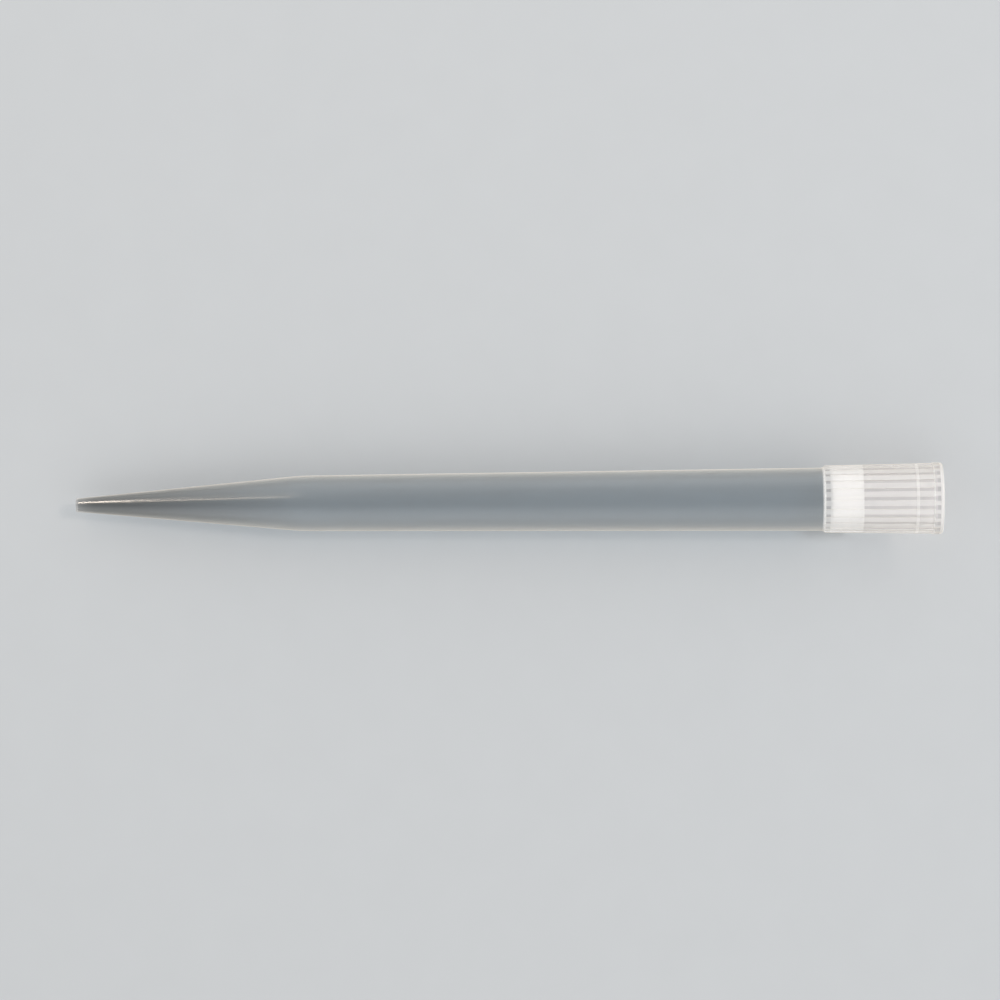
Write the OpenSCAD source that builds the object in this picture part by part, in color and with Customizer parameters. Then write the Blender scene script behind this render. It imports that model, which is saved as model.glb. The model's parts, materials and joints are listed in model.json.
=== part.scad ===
// Filter tip for a hand-held pipette: one thin-walled moulding with a fine cone, a long barrel and a
// ribbed collar, and a porous plug pressed into the collar's bore. Millimetres.
//
// Each piece is drawn upright, with the orifice at height 0 and the mouth at tip_len. It is then laid
// down along +X as it comes to rest: on two ribs of the rim, and where the cone meets the barrel.

/* [Overall] */
// Length from the orifice to the mouth
tip_len = 150; // [130:1:170]
// Length of the cone, from the orifice to the barrel
cone_len = 39; // [30:1:50]
// Length of the collar, from its shoulder to the mouth
collar_len = 20.9; // [19:0.1:24]

/* [Orifice] */
// Diameter of the hole at the orifice
orifice_bore = 1.4; // [0.8:0.1:1.8]
// Wall at the orifice
orifice_wall = 0.45; // [0.3:0.05:0.6]
// Bevel around the orifice's outer edge
orifice_bevel = 0.1; // [0.05:0.05:0.2]

/* [Barrel] */
// Outer diameter where the cone would meet the barrel in a sharp edge
barrel_low_od = 9.6; // [9:0.1:10.2]
// Wall of the barrel
barrel_wall = 0.7; // [0.6:0.05:0.75]
// Radius that rounds the edge between the cone and the barrel
blend_r = 40; // [10:5:60]

/* [Bore of the collar] */
// Diameter of the straight land that seals on the pipette
seal_bore = 9.9; // [9.6:0.05:10.4]
// Length of the sealing land
seal_len = 7.4; // [5:0.1:9]
// Depth from the mouth to the sealing land
seal_depth = 4.8; // [4:0.1:6]
// Radial step from the sealing land out to the lead-in
lead_gap = 0.25; // [0.1:0.05:0.35]
// Length of the cone that joins the lead-in to the sealing land
lead_step = 0.6; // [0.3:0.1:1]
// Bevel around the mouth's inner edge
lead_bevel = 0.3; // [0.1:0.05:0.4]

/* [Filter plug] */
// Length of the plug
plug_len = 5.5; // [3:0.1:6]
// Distance from the plug up to the sealing land
plug_gap = 1.6; // [0.5:0.1:2]
// Radial gap between the plug and its seat
plug_clearance = 0; // [0:0.01:0.05]
// Bevel around the plug's edges
plug_bevel = 0.2; // [0.1:0.05:0.4]
// Radial step from the plug's seat out to the sealing land
seat_step = 0.07; // [0.03:0.01:0.12]
// Width of the ledge that stops the plug
ledge = 0.11; // [0.08:0.01:0.2]

/* [Outside of the collar] */
// Length of the plain bevel at the shoulder, from the barrel up to the grooves' floors
shoulder_len = 0.4; // [0.2:0.05:0.6]
// Wall between the sealing land and the grooves' floors, at the shoulder
collar_wall = 0.62; // [0.6:0.01:0.7]
// Height of the ribs above the grooves' floors
rib_height = 0.25; // [0.15:0.01:0.4]
// Growth of the collar's radius from the shoulder to the rim
collar_draft = 0.27; // [0.1:0.01:0.35]
// Number of grooves, and of ribs between them
groove_count = 24; // [20:1:28]
// Width of a groove
groove_w = 0.6; // [0.3:0.05:0.7]

/* [Rim] */
// Length of the raised rim, with the plain ring
rim_len = 1.8; // [1.4:0.1:2.4]
// Height of the rim above the ribs
rim_height = 0.16; // [0.12:0.01:0.3]
// Width of a rib's crest on the rim
crest_w = 0.3; // [0.2:0.05:0.5]
// How far the floors of the rim's notches stand above the ribs
notch_rise = 0.03; // [0.02:0.01:0.06]
// Length of the plain ring that closes the grooves at the mouth
ring_len = 0.6; // [0.4:0.1:0.9]
// How far the plain ring stays below the ribs of the rim
ring_drop = 0.1; // [0.05:0.05:0.15]
// Bevel around the mouth's outer edge
mouth_bevel = 0.2; // [0.1:0.05:0.25]

/* [Hidden] */

// Facets of a whole turn, and steps along the blend, in the preview
$fn = 96;
blend_steps = 6;

// How far a cutter reaches past the face that it opens
past = 1;

// Heights above the orifice
shoulder_h = tip_len - collar_len;
rim_h = tip_len - rim_len;
rim_full_h = rim_h + rim_height;
ring_h = tip_len - ring_len;
seal_top_h = tip_len - seal_depth;
seal_low_h = seal_top_h - seal_len;
plug_top_h = seal_low_h - plug_gap;
plug_low_h = plug_top_h - plug_len;
seat_top_h = plug_top_h + plug_gap / 2;

// Radii of the bore, from the sealing land down to the orifice and up to the mouth
seal_r = seal_bore / 2;
seat_r = seal_r - seat_step;
plug_r = seat_r - plug_clearance;
chamber_top_r = seat_r - ledge;
barrel_low_r = barrel_low_od / 2;
chamber_low_r = barrel_low_r - barrel_wall;
orifice_bore_r = orifice_bore / 2;
lead_r = seal_r + lead_gap;

// Radii of the outside. The barrel keeps its wall up to the plug, so its taper is its bore's.
orifice_r = orifice_bore_r + orifice_wall;
barrel_taper = (chamber_top_r - chamber_low_r) / (plug_low_h - cone_len);
shoulder_r = barrel_low_r + barrel_taper * (shoulder_h - cone_len);
floor_r = seal_r + collar_wall;
rib_low_r = floor_r + rib_height;
rib_top_r = rib_low_r + collar_draft;
rim_r = rib_top_r + rim_height;
ring_r = rim_r - ring_drop;
floor_top_r = floor_r + collar_draft;
notch_r = rib_top_r + notch_rise;

// The plain bevel ends a little above the grooves' floors, which cut into it, and the ribs go on from
// there with a bevel of 45 degrees
bevel_lap = 0.02;
bevel_r = floor_r + bevel_lap;
bevel_h = shoulder_h + shoulder_len;
ribs_h = bevel_h + rib_low_r - bevel_r;

// On the rim each groove widens above the ribs' height, up to the crests. They start groove_angle to
// either side of its middle, and groove_flare is how much it widens on each side for its depth.
groove_angle = 180 / groove_count - asin(crest_w / 2 / rim_r);
groove_flare = (rim_r * sin(groove_angle) - groove_w / 2) / (rim_r * cos(groove_angle) - rib_top_r);

// Points of an arc of radius r, from the line a-b to the line b-c, that rounds a bulging edge at b
function blend(a, b, c, r) =
    let (
        to_a = (a - b) / norm(a - b),
        to_c = (c - b) / norm(c - b),
        half = acos(to_a * to_c) / 2,
        inwards = (to_a + to_c) / norm(to_a + to_c),
        centre = b + inwards * r / sin(half),
        from_centre = b + to_a * r / tan(half) - centre,
        start = atan2(from_centre.y, from_centre.x),
        turn = 180 - 2 * half
    )
    [for (i = [0:blend_steps]) centre + r * [
        cos(start + turn * i / blend_steps),
        sin(start + turn * i / blend_steps),
    ]];

// Outline from the cone to the barrel, on the outside and in the bore, as [radius, height]
outer_blend = blend([orifice_r, 0], [barrel_low_r, cone_len], [shoulder_r, shoulder_h], blend_r);
bore_blend = blend(
    [orifice_bore_r, 0],
    [chamber_low_r, cone_len],
    [chamber_top_r, plug_low_h],
    blend_r - barrel_wall
);

// At rest a groove faces the ground, and the crests beside it reach rest_r below the axis. That is
// further than the barrel reaches, so the axis rises towards the mouth by rest_tilt.
foot = outer_blend[blend_steps];
rest_r = rim_r * cos(groove_angle);
rest_tilt = atan((rest_r - foot.x) / (rim_full_h - foot.y));
rest_h = foot.x * cos(rest_tilt) + (tip_len / 2 - foot.y) * sin(rest_tilt);

// Lays an upright piece down as it rests, with the middle of its length over the origin
module at_rest() {
    translate([0, 0, rest_h])
        rotate([0, 90 - rest_tilt, 0])
            translate([0, 0, -tip_len / 2])
                children();
}

// The outside, as if the ribs stood without grooves
module outer_form() {
    rotate_extrude()
        polygon([
            [0, 0],
            [orifice_r - orifice_bevel, 0],
            [orifice_r, orifice_bevel],
            each outer_blend,
            [shoulder_r, shoulder_h],
            [bevel_r, bevel_h],
            [rib_low_r, ribs_h],
            [rib_top_r, rim_h],
            [rim_r, rim_full_h],
            [rim_r, ring_h],
            [ring_r, ring_h],
            [ring_r, tip_len - mouth_bevel],
            [ring_r - mouth_bevel, tip_len],
            [0, tip_len],
        ]);
}

// What is left under the grooves, which end at its surface
module under_grooves() {
    rotate_extrude()
        polygon([
            [0, 0],
            [floor_r, 0],
            [floor_r, ribs_h],
            [floor_top_r, rim_h],
            [notch_r, rim_h + notch_r - floor_top_r],
            [notch_r, tip_len],
            [0, tip_len],
        ]);
}

// The whole way through: liquid chamber, plug seat, sealing land and lead-in
module bore_form() {
    rotate_extrude()
        polygon([
            [0, -past],
            [orifice_bore_r, -past],
            [orifice_bore_r, 0],
            each bore_blend,
            [chamber_top_r, plug_low_h],
            [seat_r, plug_low_h],
            [seat_r, seat_top_h],
            [seal_r, seal_low_h],
            [seal_r, seal_top_h],
            [lead_r, seal_top_h + lead_step],
            [lead_r, tip_len - lead_bevel],
            [lead_r + lead_bevel, tip_len],
            [lead_r + lead_bevel, tip_len + past],
            [0, tip_len + past],
        ]);
}

// One groove, from the shoulder to the plain ring, which closes it
module groove() {
    half_w = groove_w / 2;
    reach = rim_r - rib_top_r + past;
    half_top = half_w + groove_flare * reach;
    translate([0, 0, shoulder_h])
        linear_extrude(ring_h - shoulder_h)
            polygon([
                [seal_r, -half_w],
                [rib_top_r, -half_w],
                [rib_top_r + reach, -half_top],
                [rib_top_r + reach, half_top],
                [rib_top_r, half_w],
                [seal_r, half_w],
            ]);
}

module tip_body() {
    color("lightsteelblue")
        at_rest()
            difference() {
                outer_form();
                bore_form();
                difference() {
                    for (i = [0:groove_count - 1])
                        rotate([0, 0, i * 360 / groove_count])
                            groove();
                    under_grooves();
                }
            }
}

module filter_plug() {
    color("white")
        at_rest()
            rotate_extrude()
                polygon([
                    [0, plug_low_h],
                    [plug_r - plug_bevel, plug_low_h],
                    [plug_r, plug_low_h + plug_bevel],
                    [plug_r, plug_top_h - plug_bevel],
                    [plug_r - plug_bevel, plug_top_h],
                    [0, plug_top_h],
                ]);
}

tip_body();
filter_plug();
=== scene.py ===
"""Dresses a long filter pipette tip: the moulded, ribbed shell and the sintered plug inside its collar."""

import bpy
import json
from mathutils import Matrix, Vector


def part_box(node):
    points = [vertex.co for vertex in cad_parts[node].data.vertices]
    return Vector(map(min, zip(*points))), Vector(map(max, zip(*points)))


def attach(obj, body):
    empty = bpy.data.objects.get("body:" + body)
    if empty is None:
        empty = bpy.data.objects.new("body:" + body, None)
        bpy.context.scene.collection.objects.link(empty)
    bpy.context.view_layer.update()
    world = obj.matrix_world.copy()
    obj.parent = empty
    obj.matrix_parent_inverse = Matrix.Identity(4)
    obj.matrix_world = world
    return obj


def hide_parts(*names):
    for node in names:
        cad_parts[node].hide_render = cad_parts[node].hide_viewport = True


bl_info = {
    "name": "Filter pipette tip",
    "version": (1, 0, 0),
    "blender": (4, 5, 0),
    "location": "3D View > Sidebar > Pipette tip",
    "description": "Builds the looks of a long filter tip around its CAD frame",
    "category": "Object",
}

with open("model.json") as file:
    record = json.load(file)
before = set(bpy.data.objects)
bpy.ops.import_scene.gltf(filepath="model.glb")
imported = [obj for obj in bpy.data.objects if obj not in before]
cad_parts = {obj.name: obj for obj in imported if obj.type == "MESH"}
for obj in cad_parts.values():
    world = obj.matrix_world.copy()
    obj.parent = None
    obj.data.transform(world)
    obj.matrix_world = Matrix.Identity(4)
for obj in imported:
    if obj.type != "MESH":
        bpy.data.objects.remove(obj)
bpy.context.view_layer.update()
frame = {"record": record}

import json
import math
from types import SimpleNamespace

import bpy
import numpy as np
from mathutils import Vector

MM = 0.001
BODY = "root"

# Points nearer to each other than this many millimetres count as one
HAIR = 1e-4

# The kinds of node that are used most
MIX, RANGE, MATH, VECTOR = "ShaderNodeMix", "ShaderNodeMapRange", "ShaderNodeMath", "ShaderNodeVectorMath"
NOISE, BUMP, PRINCIPLED = "ShaderNodeTexNoise", "ShaderNodeBump", "ShaderNodeBsdfPrincipled"

# How far the painted highlight on the orifice's lip reaches up the outside and the bore, in millimetres
LIP = 0.4

# Longest distance between the shell's rings on the rim, on the ribs and on the rest, in millimetres
RIM_SPACING, RIB_SPACING, PLAIN_SPACING = 0.2, 1.5, 6.0

# Brightness of the studio round the object, from the horizon up to the zenith, as (height, level). The
# zenith leans towards the side that the lamps stand on.
SKY = ((0.0, 0.8), (0.15, 1.2), (0.5, 1.1), (1.0, 0.3))
ZENITH = (0, 0.208, 0.978)

# The way out of the collar's bore, as the frame's record gives it. The tip's own axis is this line.
SEAL = next(m for m in frame["record"]["mounts"] if m["name"] == "sealing_bore")
SEAL_MIDDLE = np.array(SEAL["pos_m"]) / MM
AXIS = np.array(SEAL["axis"]) / np.linalg.norm(SEAL["axis"])
SEAL_R = SEAL["dims"]["r_mm"]
SEAL_LEN = SEAL["dims"]["length_mm"]


# ---------------------------------------------------------------- sizes and colours


def length(name, description, default_mm):
    """One length property, kept in metres and shown in the scene's unit."""
    return bpy.props.FloatProperty(
        name=name, description=description, default=default_mm * MM, unit="LENGTH", subtype="DISTANCE"
    )


def colour(name, description, code):
    """One colour property, from an sRGB hex value."""
    return bpy.props.FloatVectorProperty(
        name=name, description=description, default=linear(code), size=4, min=0, max=1, subtype="COLOR"
    )


def linear(code):
    """An sRGB hex value such as "#AABBCC" as linear red, green, blue and an alpha of 1."""
    parts = [int(code[i : i + 2], 16) / 255 for i in (1, 3, 5)]
    return (*[p / 12.92 if p <= 0.04045 else ((p + 0.055) / 1.055) ** 2.4 for p in parts], 1.0)


class TipSizes(bpy.types.PropertyGroup):
    """Sizes of the moulded shell. They repeat the part's own source."""

    tip_len: length("Length", "From the orifice to the mouth", 150)
    cone_len: length("Cone", "From the orifice to the barrel", 39)
    collar_len: length("Collar", "From the collar's shoulder to the mouth", 20.9)
    orifice_bore: length("Orifice bore", "Diameter of the hole at the orifice", 1.4)
    orifice_wall: length("Orifice wall", "Wall at the orifice", 0.45)
    orifice_bevel: length("Orifice bevel", "Bevel round the orifice's outer edge", 0.1)
    barrel_low_od: length("Barrel diameter", "Outer diameter where the cone meets the barrel", 9.6)
    barrel_wall: length("Barrel wall", "Wall of the barrel", 0.7)
    blend_r: length("Blend radius", "Rounds the edge between the cone and the barrel", 40)
    seal_depth: length("Seal depth", "From the mouth to the sealing land", 4.8)
    lead_gap: length("Lead-in gap", "Radial step from the sealing land to the lead-in", 0.25)
    lead_step: length("Lead-in step", "Cone that joins the lead-in to the sealing land", 0.6)
    lead_bevel: length("Lead-in bevel", "Bevel round the mouth's inner edge", 0.3)
    seat_step: length("Seat step", "Radial step from the plug's seat to the sealing land", 0.07)
    ledge: length("Ledge", "Width of the ledge that stops the plug", 0.11)
    shoulder_len: length("Shoulder", "Plain bevel from the barrel up to the grooves", 0.4)
    bevel_lap: length("Bevel lap", "How far the shoulder's bevel passes the grooves' floors", 0.02)
    collar_wall: length("Collar wall", "Wall between the sealing land and the grooves", 0.62)
    rib_height: length("Rib height", "Height of the ribs above the grooves' floors", 0.25)
    collar_draft: length("Collar draft", "Growth of the collar's radius up to the rim", 0.27)
    groove_count: bpy.props.IntProperty(name="Grooves", description="Grooves round the collar", default=24)
    groove_w: length("Groove width", "Width of a groove", 0.6)
    rim_len: length("Rim length", "Length of the raised rim, with the plain ring", 1.8)
    rim_height: length("Rim height", "Height of the rim above the ribs", 0.16)
    crest_w: length("Crest width", "Width of a rib's crest on the rim", 0.3)
    notch_rise: length("Notch rise", "How far the rim's notches stand above the ribs", 0.03)
    ring_len: length("Ring length", "Length of the plain ring at the mouth", 0.6)
    ring_drop: length("Ring drop", "How far the ring stays below the rim's ribs", 0.1)
    mouth_bevel: length("Mouth bevel", "Bevel round the mouth's outer edge", 0.2)
    edge_r: length("Edge radius", "Rounds the small edges of the moulding", 0.05)


class PlugSizes(bpy.types.PropertyGroup):
    """Sizes of the sintered plug."""

    bevel: length("Bevel", "Bevel round the plug's edges", 0.2)
    squeeze: length("Squeeze", "How far the plug's beads press into the wall", 0.05)
    bead: length("Bead", "Spacing of the sintered beads", 0.3)
    relief: length("Relief", "Depth of the pits between the beads", 0.04)


class Finishes(bpy.types.PropertyGroup):
    """Colours of the two plastics, of the shade and highlights painted on the moulding, of the light that
    passes the moulding, and of the floor.
    """

    thin_wall: colour("Thin wall", "Natural polypropylene of the cone and barrel", "#A4AEB5")
    fine_wall: colour("Fine wall", "Natural polypropylene at the orifice", "#71777B")
    thick_wall: colour("Thick wall", "Natural polypropylene of the ribbed collar", "#ECEBEB")
    # Painted shade: the deeper half of each groove takes this darker colour, where the wall is also thin
    gap: colour("Gap", "Grooves of the collar where nothing pale lies behind them", "#A3A4A8")
    # Painted highlight: the pale rings of the edge tone take this colour
    edge: colour("Edge", "Rings that catch the light led along the wall", "#FDFDFC")
    bloom: colour("Bloom", "Pale bloom on the moulding where it is seen from the side", "#FFF5E6")
    thin_lit: colour("Thin wall, lit", "Lamplight that has passed the thin wall", "#E2E6E9")
    thick_lit: colour("Thick wall, lit", "Lamplight that has passed the collar", "#FAFAFA")
    bead: colour("Bead", "Sintered polyethylene", "#FAFAFA")
    # Painted shade: the pits between the beads take this slightly darker colour
    pit: colour("Pit", "Shaded pits between the beads", "#F0F0EF")
    floor: colour("Floor", "Matt pale floor", "#C6C9CB")


# ---------------------------------------------------------------- shapes


def rounded(corners, radii, steps=3):
    """A closed outline with each corner rounded: from the corner, a point goes (1-t) squared of the
    tangent length back along the side before, and t squared of it along the side after. The tangent
    takes up less than half of either side."""
    before = np.roll(corners, 1, 0) - corners
    after = np.roll(corners, -1, 0) - corners
    len_before = np.linalg.norm(before, axis=1, keepdims=True)
    len_after = np.linalg.norm(after, axis=1, keepdims=True)
    before, after = before / len_before, after / len_after
    half = np.arccos(np.clip((before * after).sum(1, keepdims=True), -1, 1)) / 2
    tangent = radii[:, None] / np.tan(half)
    tangent = np.minimum(tangent, 0.45 * np.minimum(len_before, len_after))
    t = np.linspace(0, 1, steps + 1)[None, :, None]
    bend = (1 - t) ** 2 * (before * tangent)[:, None] + t**2 * (after * tangent)[:, None]
    points = (corners[:, None] + bend).reshape(-1, 2)
    return points[np.linalg.norm(points - np.roll(points, 1, 0), axis=1) > HAIR]


def filled(outline, longest):
    """The closed outline with points added along its sides, so that no side is over the longest that is
    given for it."""
    ends = np.roll(outline, -1, 0)
    counts = np.ceil(np.linalg.norm(ends - outline, axis=1) / longest).astype(int).clip(1)
    start = np.repeat(np.arange(len(outline)), counts)
    step = np.arange(counts.sum()) - np.repeat(np.cumsum(counts) - counts, counts)
    share = (step / counts[start])[:, None]
    return outline[start] * (1 - share) + ends[start] * share


def with_rings(outline, heights):
    """The closed outline with a point added wherever a side passes one of the heights, unless the side
    has an end close to it."""
    close = 0.01
    ends = np.roll(outline, -1, 0)
    lower = np.minimum(outline[:, 1], ends[:, 1])[:, None]
    upper = np.maximum(outline[:, 1], ends[:, 1])[:, None]
    side, which = np.nonzero((heights > lower + close) & (heights < upper - close))
    share = (heights[which] - outline[side, 1]) / (ends[side, 1] - outline[side, 1])
    added = outline[side] + (ends[side] - outline[side]) * share[:, None]
    order = np.argsort(np.concatenate([np.arange(len(outline)), side + share]), kind="stable")
    return np.concatenate([outline, added])[order]


def in_mm(sizes):
    """A group's lengths in millimetres, and its counts as they are."""
    values = {key: getattr(sizes, key) for key in sizes.__annotations__}
    return SimpleNamespace(**{k: v if isinstance(v, int) else round(v / MM, 5) for k, v in values.items()})


def seal_middle_height(s):
    """Height of the sealing land's middle above the orifice."""
    return s.tip_len - s.seal_depth - SEAL_LEN / 2


def placed(s, along, across, side):
    """Points of the tip's own frame in the row's frame: along the axis from the orifice, then across
    it towards the ground and to the side, in millimetres."""
    down = np.array([AXIS[2], 0, -AXIS[0]])
    left = np.array([0, 1, 0])
    from_seal = along - seal_middle_height(s)
    points = from_seal[..., None] * AXIS + across[..., None] * down + side[..., None] * left
    return (SEAL_MIDDLE + points) * MM


def mesh_object(name, points, faces, attributes):
    """A smooth-shaded mesh at the origin. Its normals are the mean of the faces round each vertex,
    weighted by their areas, so that broad faces stay flat beside a small rounded edge."""
    mesh = bpy.data.meshes.new(name)
    mesh.from_pydata(points.reshape(-1, 3).tolist(), [], faces)
    for key, values in attributes.items():
        attribute = mesh.attributes.new(key, "FLOAT", "POINT")
        attribute.data.foreach_set("value", values.astype(np.float32).ravel())
    mesh.polygons.foreach_set("use_smooth", np.ones(len(mesh.polygons), bool))
    mesh.update()
    count = len(mesh.polygons)
    normals, areas = np.empty(count * 3), np.empty(count)
    mesh.polygons.foreach_get("normal", normals)
    mesh.polygons.foreach_get("area", areas)
    corner_vertex = np.empty(len(mesh.loops), int)
    mesh.loops.foreach_get("vertex_index", corner_vertex)
    sizes = np.empty(count, int)
    mesh.polygons.foreach_get("loop_total", sizes)
    weighted = np.repeat(normals.reshape(-1, 3) * areas[:, None], sizes, 0)
    total = np.stack([np.bincount(corner_vertex, weighted[:, i], len(mesh.vertices)) for i in range(3)], 1)
    total /= np.linalg.norm(total, axis=1, keepdims=True)
    mesh.normals_split_custom_set_from_vertices(total.tolist())
    piece = bpy.data.objects.new(name, mesh)
    bpy.context.scene.collection.objects.link(piece)
    return piece


def ring_faces(rings, around, closed):
    """Quads between neighbouring rings of points, and from the last ring to the first if closed."""
    first = np.arange(rings if closed else rings - 1)[:, None] * around
    here = np.arange(around)[None, :]
    ahead = (here + 1) % around
    after = (first + around) % (rings * around)
    quads = np.stack([first + here, first + ahead, after + ahead, after + here], -1)
    return quads.reshape(-1, 4)


def collar_sizes(s):
    """Heights above the orifice and radii that follow from the sizes, named as the part's source has
    them."""
    c = SimpleNamespace()
    c.shoulder_h = s.tip_len - s.collar_len
    c.rim_h = s.tip_len - s.rim_len
    c.ring_h = s.tip_len - s.ring_len
    c.seal_top_h = s.tip_len - s.seal_depth
    c.seal_low_h = c.seal_top_h - SEAL_LEN
    c.plug_low_h, c.plug_top_h = plug_heights(s)
    c.seat_r = SEAL_R - s.seat_step
    c.chamber_top_r = c.seat_r - s.ledge
    c.barrel_low_r = s.barrel_low_od / 2
    c.chamber_low_r = c.barrel_low_r - s.barrel_wall
    taper = (c.chamber_top_r - c.chamber_low_r) / (c.plug_low_h - s.cone_len)
    c.shoulder_r = c.barrel_low_r + taper * (c.shoulder_h - s.cone_len)
    c.lead_r = SEAL_R + s.lead_gap
    c.floor_r = SEAL_R + s.collar_wall
    c.floor_top_r = c.floor_r + s.collar_draft
    c.rib_low_r = c.floor_r + s.rib_height
    c.rib_top_r = c.rib_low_r + s.collar_draft
    c.notch_r = c.rib_top_r + s.notch_rise
    c.rim_r = c.rib_top_r + s.rim_height
    c.ring_r = c.rim_r - s.ring_drop
    c.bevel_r = c.floor_r + s.bevel_lap
    c.bevel_h = c.shoulder_h + s.shoulder_len
    c.ribs_h = c.bevel_h + c.rib_low_r - c.bevel_r
    return c


def shell_outline(s, c):
    """The shell's closed outline, from the orifice's face up the outside, over the mouth and down the
    bore. Each row is a corner's radius and height, and the radius that rounds it."""
    bore_r = s.orifice_bore / 2
    orifice_r = bore_r + s.orifice_wall
    edge, soft, sharp = s.edge_r, 2 * s.edge_r, s.edge_r / 2
    lip = np.array([1, LIP / s.cone_len])
    lip_out = lip @ [orifice_r, c.barrel_low_r - orifice_r]
    lip_in = lip @ [bore_r, c.chamber_low_r - bore_r]
    return np.array(
        [
            [orifice_r - s.orifice_bevel, 0, edge],
            [orifice_r, s.orifice_bevel, edge],
            [lip_out, LIP, 0],
            [c.barrel_low_r, s.cone_len, s.blend_r],
            [c.shoulder_r, c.shoulder_h, edge],
            [c.bevel_r, c.bevel_h, edge],
            [c.rib_low_r, c.ribs_h, edge],
            [c.rib_top_r, c.rim_h, edge],
            [c.rim_r, c.rim_h + s.rim_height, edge],
            [c.rim_r, c.ring_h, sharp],
            [c.ring_r, c.ring_h, sharp],
            [c.ring_r, s.tip_len - s.mouth_bevel, edge],
            [c.ring_r - s.mouth_bevel, s.tip_len, edge],
            [c.lead_r + s.lead_bevel, s.tip_len, edge],
            [c.lead_r, s.tip_len - s.lead_bevel, edge],
            [c.lead_r, c.seal_top_h + s.lead_step, soft],
            [SEAL_R, c.seal_top_h, soft],
            [SEAL_R, c.seal_low_h, soft],
            [c.seat_r, (c.seal_low_h + c.plug_top_h) / 2, soft],
            [c.seat_r, c.plug_low_h, sharp],
            [c.chamber_top_r, c.plug_low_h, sharp],
            [c.chamber_low_r, s.cone_len, s.blend_r - s.barrel_wall],
            [lip_in, LIP, 0],
            [bore_r, 0, sharp],
        ]
    )


def plug_heights(s):
    """Lowest and highest height of the plug above the orifice, from its CAD box along the axis."""
    low, high = (np.array(corner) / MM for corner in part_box("filter_plug"))
    radius = (high[1] - low[1]) / 2
    at = ((low + high) / 2 - SEAL_MIDDLE) @ AXIS + seal_middle_height(s)
    half = ((high[0] - low[0]) / 2 - radius * AXIS[2]) / AXIS[0]
    return at - half, at + half


def groove_section(s, c, floor_r, crest_r):
    """Angle and radius of the points round one groove and one rib, for each ring. The groove's floor
    is an arc of floor_r and the rib's crest one of crest_r. Between them each flank runs straight out at
    half the groove's width, and above the ribs' height it widens, so that it meets the rim's circle at
    the edge of a crest. A corner is rounded as in rounded(), by edge_r where there is room for it."""
    half_w, pitch = s.groove_w / 2, 2 * math.pi / s.groove_count
    edge_angle = pitch / 2 - math.asin(s.crest_w / 2 / c.rim_r)
    flare = (c.rim_r * math.sin(edge_angle) - half_w) / (c.rim_r * math.cos(edge_angle) - c.rib_top_r)
    knee_r = math.hypot(c.rib_top_r, half_w)

    def meet(radius):
        """Where the flank meets a circle: how far out, and how far to the side."""
        a, b = 1 + flare**2, c.rib_top_r + flare * half_w
        past = (np.sqrt(b**2 + a * (radius**2 - knee_r**2).clip(0)) - b) / a
        out = np.where(radius > knee_r, c.rib_top_r + past, np.sqrt(radius**2 - half_w**2))
        return np.stack([out, half_w + flare * past], -1)

    def unit(vector):
        """The vectors, each at a length of 1."""
        return vector / np.linalg.norm(vector, axis=-1, keepdims=True)

    depth = crest_r - floor_r
    foot, edge = meet(floor_r), meet(crest_r)
    knee = meet(np.clip(knee_r, floor_r + 0.4 * depth, crest_r - 0.4 * depth))
    reach = np.minimum(s.edge_r, 0.3 * depth)[:, None]
    inwards = unit(foot[:, ::-1] * [1, -1])
    onwards = unit(edge[:, ::-1] * [-1, 1])
    up, over = unit(knee - foot), unit(edge - knee)
    # A rounded corner has three points, and its middle one is a quarter of the way along both sides
    half = [
        foot + reach * inwards,
        foot + reach * (inwards + up) / 4,
        foot + reach * up,
        knee,
        edge - reach * over,
        edge + reach * (onwards - over) / 4,
        edge + reach * onwards,
    ]
    half = np.stack(half, 1)
    centre = np.stack([floor_r, np.zeros_like(floor_r)], -1)[:, None]
    middle = crest_r[:, None, None] * [math.cos(pitch / 2), math.sin(pitch / 2)]
    whole = np.concatenate([half[:, ::-1] * [1, -1], centre, half, middle], 1)
    return np.arctan2(whole[..., 1], whole[..., 0]), np.hypot(whole[..., 0], whole[..., 1])


def edge_highlight_profile(s, c):
    """Heights above the orifice, in millimetres, and how much painted highlight the wall gets there, from 0
    to 1: pale rings painted in to stand for the light led along the wall. The rows are the lip, the
    shoulder, the plug's lower and upper end, the step of the lead-in, the start of the rim, and the mouth.
    Behind the lip the tone fades over 3 mm, and elsewhere it changes within 0.35 mm."""
    lead_top_h = c.seal_top_h + s.lead_step
    places = [
        [(0, 0.45), (0.3, 0.4), (LIP, 0.22), (4 * LIP, 0.1), (8 * LIP, 0)],
        [(c.bevel_h - 0.35, 0), (c.bevel_h, 1), (c.bevel_h + 0.3, 0.3)],
        [(c.plug_low_h - 0.35, 0.3), (c.plug_low_h - 0.1, 0.45)],
        [(c.plug_top_h - 0.1, 0.35), (c.plug_top_h + 0.15, 0)],
        [(c.seal_top_h, 0), (c.seal_top_h + 0.1, 0.4), (lead_top_h - 0.1, 0.4), (lead_top_h, 0)],
        [(c.rim_h, 0), (c.rim_h + 0.15, 0.4), (c.rim_h + 0.35, 0)],
        [(c.ring_h, 0), (c.ring_h + 0.2, 0.5), (s.tip_len, 0.6)],
    ]
    return np.concatenate(places)


def groove_shade_profile(c):
    """Heights above the orifice, in millimetres, and how much painted shade the grooves get there, from 0
    to 1. The rows are darkest below the plug, hidden where the plug lies behind them, then even, paler on
    the rim, and dark again at the mouth's ring."""
    places = [
        [(c.plug_low_h - 0.3, 0.9)],
        [(c.plug_low_h - 0.1, 0.1), (c.plug_top_h - 0.1, 0.1)],
        [(c.plug_top_h + 0.15, 0.5), (c.rim_h - 2, 0.5)],
        [(c.rim_h, 0.35), (c.ring_h - 0.65, 0.35)],
        [(c.ring_h - 0.5, 0.7), (c.ring_h, 0.7)],
    ]
    return np.concatenate(places)


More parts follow.
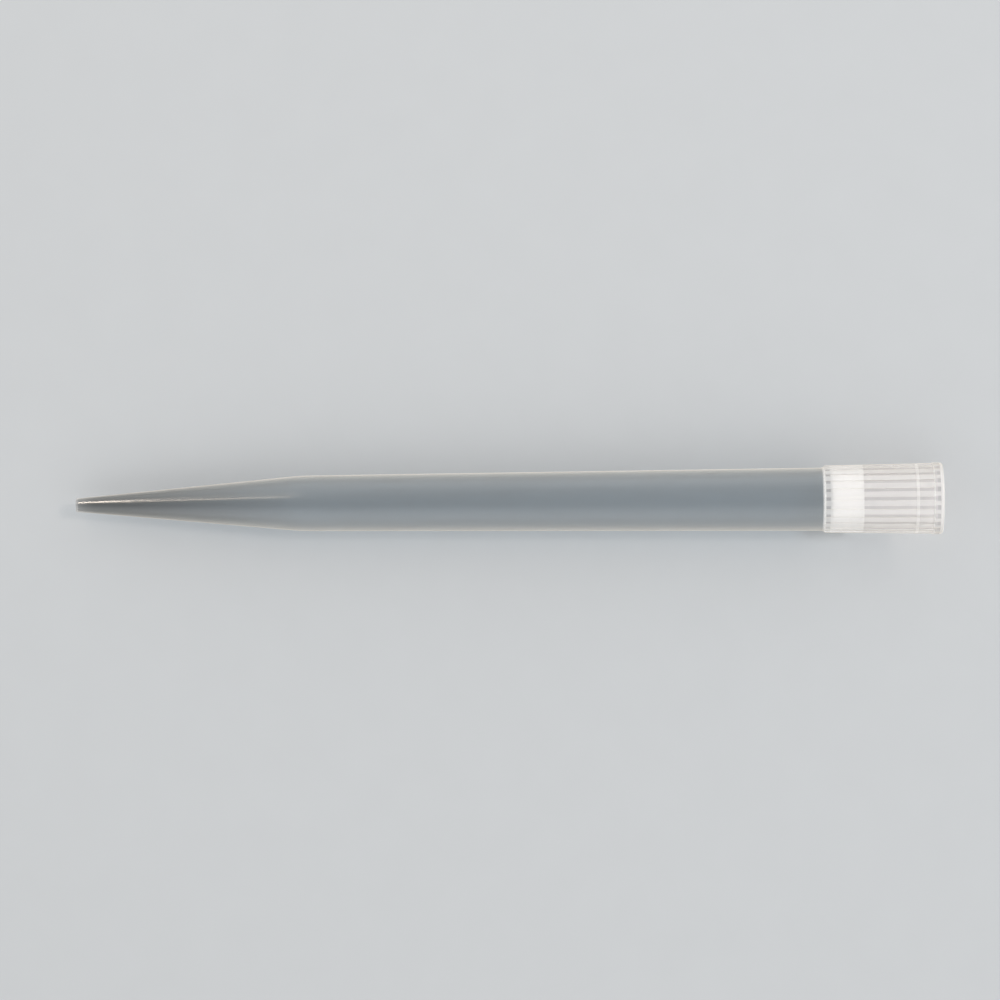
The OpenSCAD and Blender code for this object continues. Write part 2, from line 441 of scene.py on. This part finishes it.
def shell_rings(s, c):
    """Radius and height of each of the shell's rings, and whether it is on the outside. The outline's
    sides are filled, and get a ring at every height where a tone changes."""
    corners = shell_outline(s, c)
    outline = rounded(corners[:, :2], corners[:, 2])
    lower = np.minimum(outline[:, 1], np.roll(outline[:, 1], -1))
    # The closer spacings start a little below the rim and the shoulder
    from_rim, from_ribs = lower > c.rim_h - 0.1, lower > c.shoulder_h - 1
    longest = np.select([from_rim, from_ribs], [RIM_SPACING, RIB_SPACING], PLAIN_SPACING)
    changes = np.concatenate([edge_highlight_profile(s, c)[:, 0], groove_shade_profile(c)[:, 0]])
    radius, height = with_rings(filled(outline, longest), np.unique(changes)).T
    mouth = np.flatnonzero(height > s.tip_len - HAIR)
    outside = np.arange(len(height)) <= mouth[len(mouth) // 2]
    return radius, height, outside


def shell_sections(s, c, radius, height, outside):
    """Angle and radius of each ring's points over one groove and one rib, and how deep each point is
    sunk, from 0 on a crest to 1 on a groove's floor. Ribbed rings take the groove's section, cut off
    where the outline is lower. Rings away from the grooves have their points at even angles, because
    narrow faces would show in the gloss."""
    notch_h = c.rim_h + c.notch_r - c.floor_top_r
    floor_r = np.interp(height, [c.ribs_h, c.rim_h, notch_h], [c.floor_r, c.floor_top_r, c.notch_r])
    ribbed = outside & (height < c.ring_h + HAIR)
    crest_r = np.where(ribbed, np.maximum(radius, c.rib_low_r), floor_r + s.rib_height)
    angle, section = groove_section(s, c, floor_r, crest_r)
    # The grooves' angles start a little below the shoulder
    grooved = ribbed & (height >= c.shoulder_h - 0.1)
    start, pitch = angle[0, 0], 2 * math.pi / s.groove_count
    even = np.linspace(start, start + pitch, angle.shape[1] + 1)[:-1]
    angle = np.where(grooved[:, None], angle, even)
    radial = np.where(ribbed[:, None], np.minimum(section, radius[:, None]), radius[:, None])
    sunk = (radius[:, None] - radial) / (crest_r - floor_r)[:, None]
    return angle, radial, sunk


def shell_tones(s, c, height, outside, sunk):
    """The attributes that the shell's finish reads, each from 0 to 1: fine grows from the barrel down to
    the lowest fifth of the cone, collar is 1 on the ribbed collar, gap is painted shade on the deeper half
    of the grooves and edge is a painted highlight that stands for the light led along the wall. In the
    bore, edge is only on the lip and above the plug."""
    fine = np.clip((s.cone_len - height) / (0.8 * s.cone_len), 0, 1)
    starts = np.where(outside, c.shoulder_h, c.plug_low_h)
    collar = np.clip((height - starts) / s.shoulder_len, 0, 1)
    gap_at, gap_level = groove_shade_profile(c).T
    gap = (2 * sunk - 1).clip(0, 1) * np.interp(height, gap_at, gap_level)[:, None]
    edge_at, edge_level = edge_highlight_profile(s, c).T
    shown = outside | (height > c.seal_low_h) | (height < LIP)
    edge = np.where(shown, np.interp(height, edge_at, edge_level), 0)
    tones = {"fine": fine[:, None], "collar": collar[:, None], "gap": gap, "edge": edge[:, None]}
    return {key: np.broadcast_to(values, sunk.shape) for key, values in tones.items()}


class TIP_OT_shell(bpy.types.Operator):
    """Builds the moulded shell: its outline turned round the axis, with the grooves of the collar"""

    bl_idname = "pipette_tip.shell"
    bl_label = "Moulded shell"

    def execute(self, context):
        s = in_mm(context.scene.tip_sizes)
        c = collar_sizes(s)
        radius, height, outside = shell_rings(s, c)
        angle, radial, sunk = shell_sections(s, c, radius, height, outside)
        turns = np.arange(s.groove_count)[None, :, None] * 2 * math.pi / s.groove_count
        angle = (angle[:, None] + turns).reshape(len(height), -1)
        radial, sunk = (np.tile(values, (1, s.groove_count)) for values in (radial, sunk))
        along = np.broadcast_to(height[:, None], angle.shape)
        points = placed(s, along, radial * np.cos(angle), radial * np.sin(angle))
        faces = ring_faces(*angle.shape, closed=True)
        tones = shell_tones(s, c, height, outside, sunk)
        piece = mesh_object("moulded_shell", points, faces.tolist(), tones)
        piece.data.materials.append(polypropylene(context.scene.tip_finishes))
        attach(piece, BODY)
        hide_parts("tip_body")
        return {"FINISHED"}


def bead_relief(points, spacing):
    """How deep each point lies between the sintered beads, from 0 on a bead to 1 in a pit: the square of
    the distance to the nearest bead's centre. Each cube of the spacing holds one centre, at a place that
    looks random and follows from the cube's number: a sine of it, taken many times over its range."""
    primes = np.array([73856093, 19349663, 83492791])
    rates, spread = (0.123, 0.357, 0.731), 43758.5453
    cell = np.floor(points / spacing).astype(int)
    offsets = np.stack(np.meshgrid(*[[-1, 0, 1]] * 3, indexing="ij"), -1).reshape(-1, 3)
    near = cell[:, None] + offsets
    number = (near * primes).sum(-1)
    place = np.stack([np.sin(number * rate) * spread % 1 for rate in rates], -1)
    distance = np.linalg.norm((near + place) * spacing - points[:, None], axis=-1).min(1)
    deepest = 0.8 * spacing
    return np.clip(distance / deepest, 0, 1) ** 2


def plug_rings(s, low, high, r):
    """Radius and height of the plug's rings, evenly spaced along its profile from pole to pole, and the
    distance between them, a third of a bead's spacing. The poles themselves are left out."""
    lower = [[0, low], [r - s.bevel, low], [r, low + s.bevel]]
    upper = [[r, high - s.bevel], [r - s.bevel, high], [0, high]]
    profile = np.array(lower + upper)
    step = s.bead / 3
    lengths = np.linalg.norm(np.diff(profile, axis=0), axis=1)
    travelled = np.concatenate([[0], np.cumsum(lengths)])
    at = np.linspace(0, travelled[-1], int(travelled[-1] / step) + 1)[1:-1]
    across, along = (np.interp(at, travelled, column) for column in profile.T)
    return across, along, step


def pole_faces(rings, around):
    """Triangles from the first ring to the pole before it and from the last ring to the pole after it.
    The two poles follow the rings' points."""
    here = np.arange(around)
    ahead = (here + 1) % around
    first_pole, last_ring = rings * around, (rings - 1) * around
    low_end = np.stack([np.full(around, first_pole), ahead, here], -1)
    high_end = np.stack([np.full(around, first_pole + 1), last_ring + here, last_ring + ahead], -1)
    return np.concatenate([low_end, high_end])


class TIP_OT_plug(bpy.types.Operator):
    """Builds the sintered plug: a bevelled profile turned round the axis, sunk between its beads"""

    bl_idname = "pipette_tip.plug"
    bl_label = "Sintered plug"

    def execute(self, context):
        tip, s = in_mm(context.scene.tip_sizes), in_mm(context.scene.plug_sizes)
        low, high = plug_heights(tip)
        r = SEAL_R - tip.seat_step + s.squeeze
        across, along, step = plug_rings(s, low, high, r)
        rings, around = len(across), int(2 * math.pi * r / step)
        angle = np.arange(around) * 2 * math.pi / around
        grid = [np.outer(across, np.cos(angle)), np.outer(across, np.sin(angle))]
        grid.append(np.outer(along, np.ones(around)))
        local = np.concatenate([np.stack(grid, -1).reshape(-1, 3), [[0, 0, low], [0, 0, high]]])
        pit = bead_relief(local, s.bead)
        # The pits sink straight in at the ends, and towards the axis on the outer third and the side
        x, y, z = local.T
        middle = (low + high) / 2
        outer = np.clip(np.hypot(x, y) / r * 3 - 2, 0, 1)
        on_end = np.abs(z - middle) > (high - low) / 2 - s.bevel
        inward = np.stack([-x / r * outer, -y / r * outer, np.sign(middle - z) * on_end], -1)
        x, y, z = (local + s.relief * pit[:, None] * inward).T
        points = placed(tip, z, x, y)
        faces = ring_faces(rings, around, closed=False).tolist() + pole_faces(rings, around).tolist()
        piece = mesh_object("sintered_plug", points, faces, {"pit": pit})
        piece.data.materials.append(polyethylene(context.scene.tip_finishes))
        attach(piece, BODY)
        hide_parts("filter_plug")
        return {"FINISHED"}


# ---------------------------------------------------------------- finishes


def add_node(tree, kind, inputs=None, **settings):
    """Adds one node, sets its properties, and sets or links its inputs. A mix of colours takes its factor
    at input 0 and its colours at 6 and 7, and gives the mix at output 2."""
    node = tree.nodes.new(kind)
    for key, value in settings.items():
        setattr(node, key, value)
    for key, value in (inputs or {}).items():
        if isinstance(value, bpy.types.NodeSocket):
            tree.links.new(value, node.inputs[key])
        else:
            node.inputs[key].default_value = value
    return node


def new_material(name):
    """An empty material, its node tree, the tree's output and the place on the piece, in metres."""
    material = bpy.data.materials.new(name)
    material.use_nodes = True
    tree = material.node_tree
    tree.nodes.clear()
    place = add_node(tree, "ShaderNodeTexCoord").outputs["Object"]
    return material, tree, add_node(tree, "ShaderNodeOutputMaterial"), place


def polypropylene(f):
    """Natural polypropylene, injection moulded between a polished core and cavity. The thin wall of the
    cone and barrel looks smoky and blurs what is behind it, and it is darker towards the orifice. The
    ribbed collar scatters more light and looks milky white. Painted shade gives greyer lines in the
    grooves, where the wall is also thin, and painted highlights give pale rings at the lip, the shoulder,
    the plug's ends, the lead-in, the rim and the mouth. The skin has a soft gloss, and a pale bloom where
    it is seen from the side."""
    material, tree, output, place = new_material("natural_polypropylene_moulded")
    fine, collar, gap, edge = (
        add_node(tree, "ShaderNodeAttribute", attribute_name=name).outputs["Fac"]
        for name in ("fine", "collar", "gap", "edge")
    )

    # The tone clouds faintly over 6 mm
    cloud = add_node(tree, NOISE, {"Vector": place, "Scale": 1 / (6 * MM), "Detail": 2.0}).outputs["Fac"]
    tone = add_node(tree, RANGE, {"Value": cloud, "To Min": 0.97, "To Max": 1.03}).outputs[0]
    thin = add_node(tree, MIX, {0: fine, 6: f.thin_wall[:], 7: f.fine_wall[:]}, data_type="RGBA").outputs[2]
    # Painted shade: the grooves' floors are mixed towards the darker gap colour
    ribs = add_node(tree, MIX, {0: gap, 6: f.thick_wall[:], 7: f.gap[:]}, data_type="RGBA").outputs[2]
    walls = add_node(tree, MIX, {0: collar, 6: thin, 7: ribs}, data_type="RGBA").outputs[2]
    # Painted highlight: the edge rings are mixed towards a near-white colour
    base = add_node(tree, MIX, {0: edge, 6: walls, 7: f.edge[:]}, data_type="RGBA").outputs[2]
    toned = add_node(tree, VECTOR, {0: base, "Scale": tone}, operation="SCALE").outputs[0]

    # The collar lets a little less through than the barrel, and the rings that catch light far less
    wall_clear = add_node(tree, RANGE, {"Value": collar, "To Min": 0.75, "To Max": 0.6}).outputs[0]
    ring_clear = add_node(tree, RANGE, {"Value": edge, "To Min": 1.0, "To Max": 0.3}).outputs[0]
    clear = add_node(tree, MATH, {0: wall_clear, 1: ring_clear}, operation="MULTIPLY").outputs[0]

    # The skin's grain is too fine to show, so it is drawn coarser, at 0.25 mm
    grain = add_node(tree, NOISE, {"Vector": place, "Scale": 1 / (0.25 * MM), "Detail": 3.0}).outputs["Fac"]
    even = add_node(tree, RANGE, {"Value": collar, "To Min": 0.32, "To Max": 0.18}).outputs[0]
    rough = add_node(tree, MATH, {0: grain, 1: 0.08, 2: even}, operation="MULTIPLY_ADD").outputs[0]
    bump = add_node(tree, BUMP, {"Height": grain, "Strength": 0.05, "Distance": 0.01 * MM}).outputs[0]
    plastic = add_node(
        tree,
        PRINCIPLED,
        {
            "Base Color": toned,
            "Roughness": rough,
            "Normal": bump,
            "Transmission Weight": clear,
            "IOR": 1.49,
            "Coat Weight": 1.0,
            "Coat Roughness": 0.08,
            "Sheen Weight": 1.0,
            "Sheen Roughness": 0.5,
            "Sheen Tint": f.bloom[:],
        },
    )

    # Lamps reach the plug and the floor through the wall, by way of a plain transparent shader
    let_through = add_node(tree, MIX, {0: collar, 6: f.thin_lit[:], 7: f.thick_lit[:]}, data_type="RGBA")
    lit = add_node(tree, "ShaderNodeBsdfTransparent", {"Color": let_through.outputs[2]})
    lamp_ray = add_node(tree, "ShaderNodeLightPath").outputs["Is Shadow Ray"]
    surface = add_node(tree, "ShaderNodeMixShader", {0: lamp_ray, 1: plastic.outputs[0], 2: lit.outputs[0]})
    tree.links.new(surface.outputs[0], output.inputs["Surface"])
    return material


def polyethylene(f):
    """Sintered porous polyethylene: fused beads of about 0.3 mm, bright white and fully matt, with
    slightly shaded pits between them. The grit on the beads is too fine to show, so it is drawn coarser,
    at 0.12 mm."""
    material, tree, output, place = new_material("porous_polyethylene_sintered")
    pit = add_node(tree, "ShaderNodeAttribute", attribute_name="pit").outputs["Fac"]
    # Painted shade: the pits are mixed towards the darker pit colour, besides being sunk
    base = add_node(tree, MIX, {0: pit, 6: f.bead[:], 7: f.pit[:]}, data_type="RGBA").outputs[2]
    grit = add_node(tree, NOISE, {"Vector": place, "Scale": 1 / (0.12 * MM), "Detail": 2.0}).outputs["Fac"]
    rough = add_node(tree, RANGE, {"Value": grit, "To Min": 0.8, "To Max": 0.95}).outputs[0]
    bump = add_node(tree, BUMP, {"Height": grit, "Strength": 0.4, "Distance": 0.03 * MM}).outputs[0]
    inputs = {"Base Color": base, "Roughness": rough, "Normal": bump, "IOR": 1.5}
    shader = add_node(tree, PRINCIPLED, inputs)
    tree.links.new(shader.outputs[0], output.inputs["Surface"])
    return material


def floor_finish(f):
    """Matt painted board: an even pale grey with a trace of mottle, 8 mm across."""
    material, tree, output, place = new_material("matt_painted_board")
    mottle = add_node(tree, NOISE, {"Vector": place, "Scale": 1 / (8 * MM), "Detail": 2.0}).outputs["Fac"]
    tone = add_node(tree, RANGE, {"Value": mottle, "To Min": 0.985, "To Max": 1.015}).outputs[0]
    base = add_node(tree, VECTOR, {0: f.floor[:3], "Scale": tone}, operation="SCALE").outputs[0]
    shader = add_node(tree, PRINCIPLED, {"Base Color": base, "Roughness": 0.9})
    tree.links.new(shader.outputs[0], output.inputs["Surface"])
    return material


# ---------------------------------------------------------------- stage


def add_floor(scene):
    """A flat square floor under the tip, wide enough to fill every view."""
    reach = 3.0
    corners = [(-reach, -reach, 0), (reach, -reach, 0), (reach, reach, 0), (-reach, reach, 0)]
    mesh = bpy.data.meshes.new("floor")
    mesh.from_pydata(corners, [], [(0, 1, 2, 3)])
    floor = bpy.data.objects.new("floor", mesh)
    scene.collection.objects.link(floor)
    mesh.materials.append(floor_finish(scene.tip_finishes))


def add_studio(scene):
    """A world that is bright at the sides and dark overhead. Its brightness follows SKY, by how far a
    direction points towards the zenith."""
    world = bpy.data.worlds.new("studio")
    scene.world = world
    world.use_nodes = True
    tree = world.node_tree
    direction = add_node(tree, "ShaderNodeTexCoord").outputs["Generated"]
    rise = add_node(tree, VECTOR, {0: direction, 1: ZENITH}, operation="DOT_PRODUCT").outputs["Value"]
    ramp = add_node(tree, "ShaderNodeValToRGB", {0: rise})
    ramp.color_ramp.interpolation = "EASE"
    for at, _ in SKY[1:-1]:
        ramp.color_ramp.elements.new(at)
    for stop, (at, level) in zip(ramp.color_ramp.elements, SKY):
        stop.position, stop.color = at, (level, level, level, 1)
    tree.links.new(ramp.outputs[0], tree.nodes["Background"].inputs["Color"])


def add_lamp(scene, name, place, size, watts, code, shape="RECTANGLE", turn=None):
    """An area lamp that faces the tip's middle or, if a turn is given, straight down and turned by that
    many degrees."""
    data = bpy.data.lights.new(name, "AREA")
    data.shape = shape
    data.size, data.size_y = size
    data.energy = watts
    data.color = linear(code)[:3]
    obj = bpy.data.objects.new(name, data)
    scene.collection.objects.link(obj)
    obj.location = place
    facing = (-Vector(place)).to_track_quat("-Z", "Y").to_euler()
    obj.rotation_euler = facing if turn is None else (0, 0, math.radians(turn))


def add_camera(scene):
    """A camera 0.8 m above the floor that looks straight down on the whole length, turned a little."""
    place, turn, lens = (-0.0015, 0.00031, 0.8), -0.463, 165.1
    camera = bpy.data.objects.new("camera", bpy.data.cameras.new("camera"))
    scene.collection.objects.link(camera)
    camera.data.sensor_width = 36
    camera.data.lens = lens
    camera.data.clip_start = 0.01
    camera.location = place
    camera.rotation_euler = (0, 0, math.radians(turn))
    scene.camera = camera


class TIP_OT_stage(bpy.types.Operator):
    """Builds the floor, the lights and the camera"""

    bl_idname = "pipette_tip.stage"
    bl_label = "Stage"

    def execute(self, context):
        scene = context.scene
        scene.view_settings.view_transform = "Standard"
        add_floor(scene)
        add_studio(scene)
        # The studio's own light is even. The key adds to it from beyond the mouth, the strip gives the
        # cone a soft glow, and the spark gives it its highlight.
        add_lamp(scene, "key", (0.577, 0.25, 1.0), (0.2, 0.2), 3.95, "#FBFCFF")
        add_lamp(
            scene, "strip", (-0.345, 0.48, 0.85), (0.15, 0.16), 0.2, "#FFEBD2", shape="ELLIPSE", turn=0
        )
        add_lamp(scene, "spark", (-0.415, 0.79, 0.85), (0.035, 0.78), 1.95, "#FFF0E0", turn=11)
        add_camera(scene)
        return {"FINISHED"}


# ---------------------------------------------------------------- panel and registration


class TIP_PT_panel(bpy.types.Panel):
    """Lists the pieces and their sizes"""

    bl_idname = "TIP_PT_panel"
    bl_label = "Filter pipette tip"
    bl_space_type = "VIEW_3D"
    bl_region_type = "UI"
    bl_category = "Pipette tip"

    def draw(self, context):
        for operator in (TIP_OT_shell, TIP_OT_plug, TIP_OT_stage):
            self.layout.operator(operator.bl_idname)
        for group in (context.scene.tip_sizes, context.scene.plug_sizes, context.scene.tip_finishes):
            box = self.layout.box()
            for key in group.__annotations__:
                box.prop(group, key)


CLASSES = (TipSizes, PlugSizes, Finishes, TIP_OT_shell, TIP_OT_plug, TIP_OT_stage, TIP_PT_panel)


def register():
    for cls in CLASSES:
        bpy.utils.register_class(cls)
    bpy.types.Scene.tip_sizes = bpy.props.PointerProperty(type=TipSizes)
    bpy.types.Scene.plug_sizes = bpy.props.PointerProperty(type=PlugSizes)
    bpy.types.Scene.tip_finishes = bpy.props.PointerProperty(type=Finishes)


def unregister():
    del bpy.types.Scene.tip_finishes
    del bpy.types.Scene.plug_sizes
    del bpy.types.Scene.tip_sizes
    for cls in reversed(CLASSES):
        bpy.utils.unregister_class(cls)


def main():
    """Registers the classes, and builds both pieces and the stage."""
    register()
    bpy.ops.pipette_tip.shell()
    bpy.ops.pipette_tip.plug()
    bpy.ops.pipette_tip.stage()


if __name__ == "__main__":
    main()
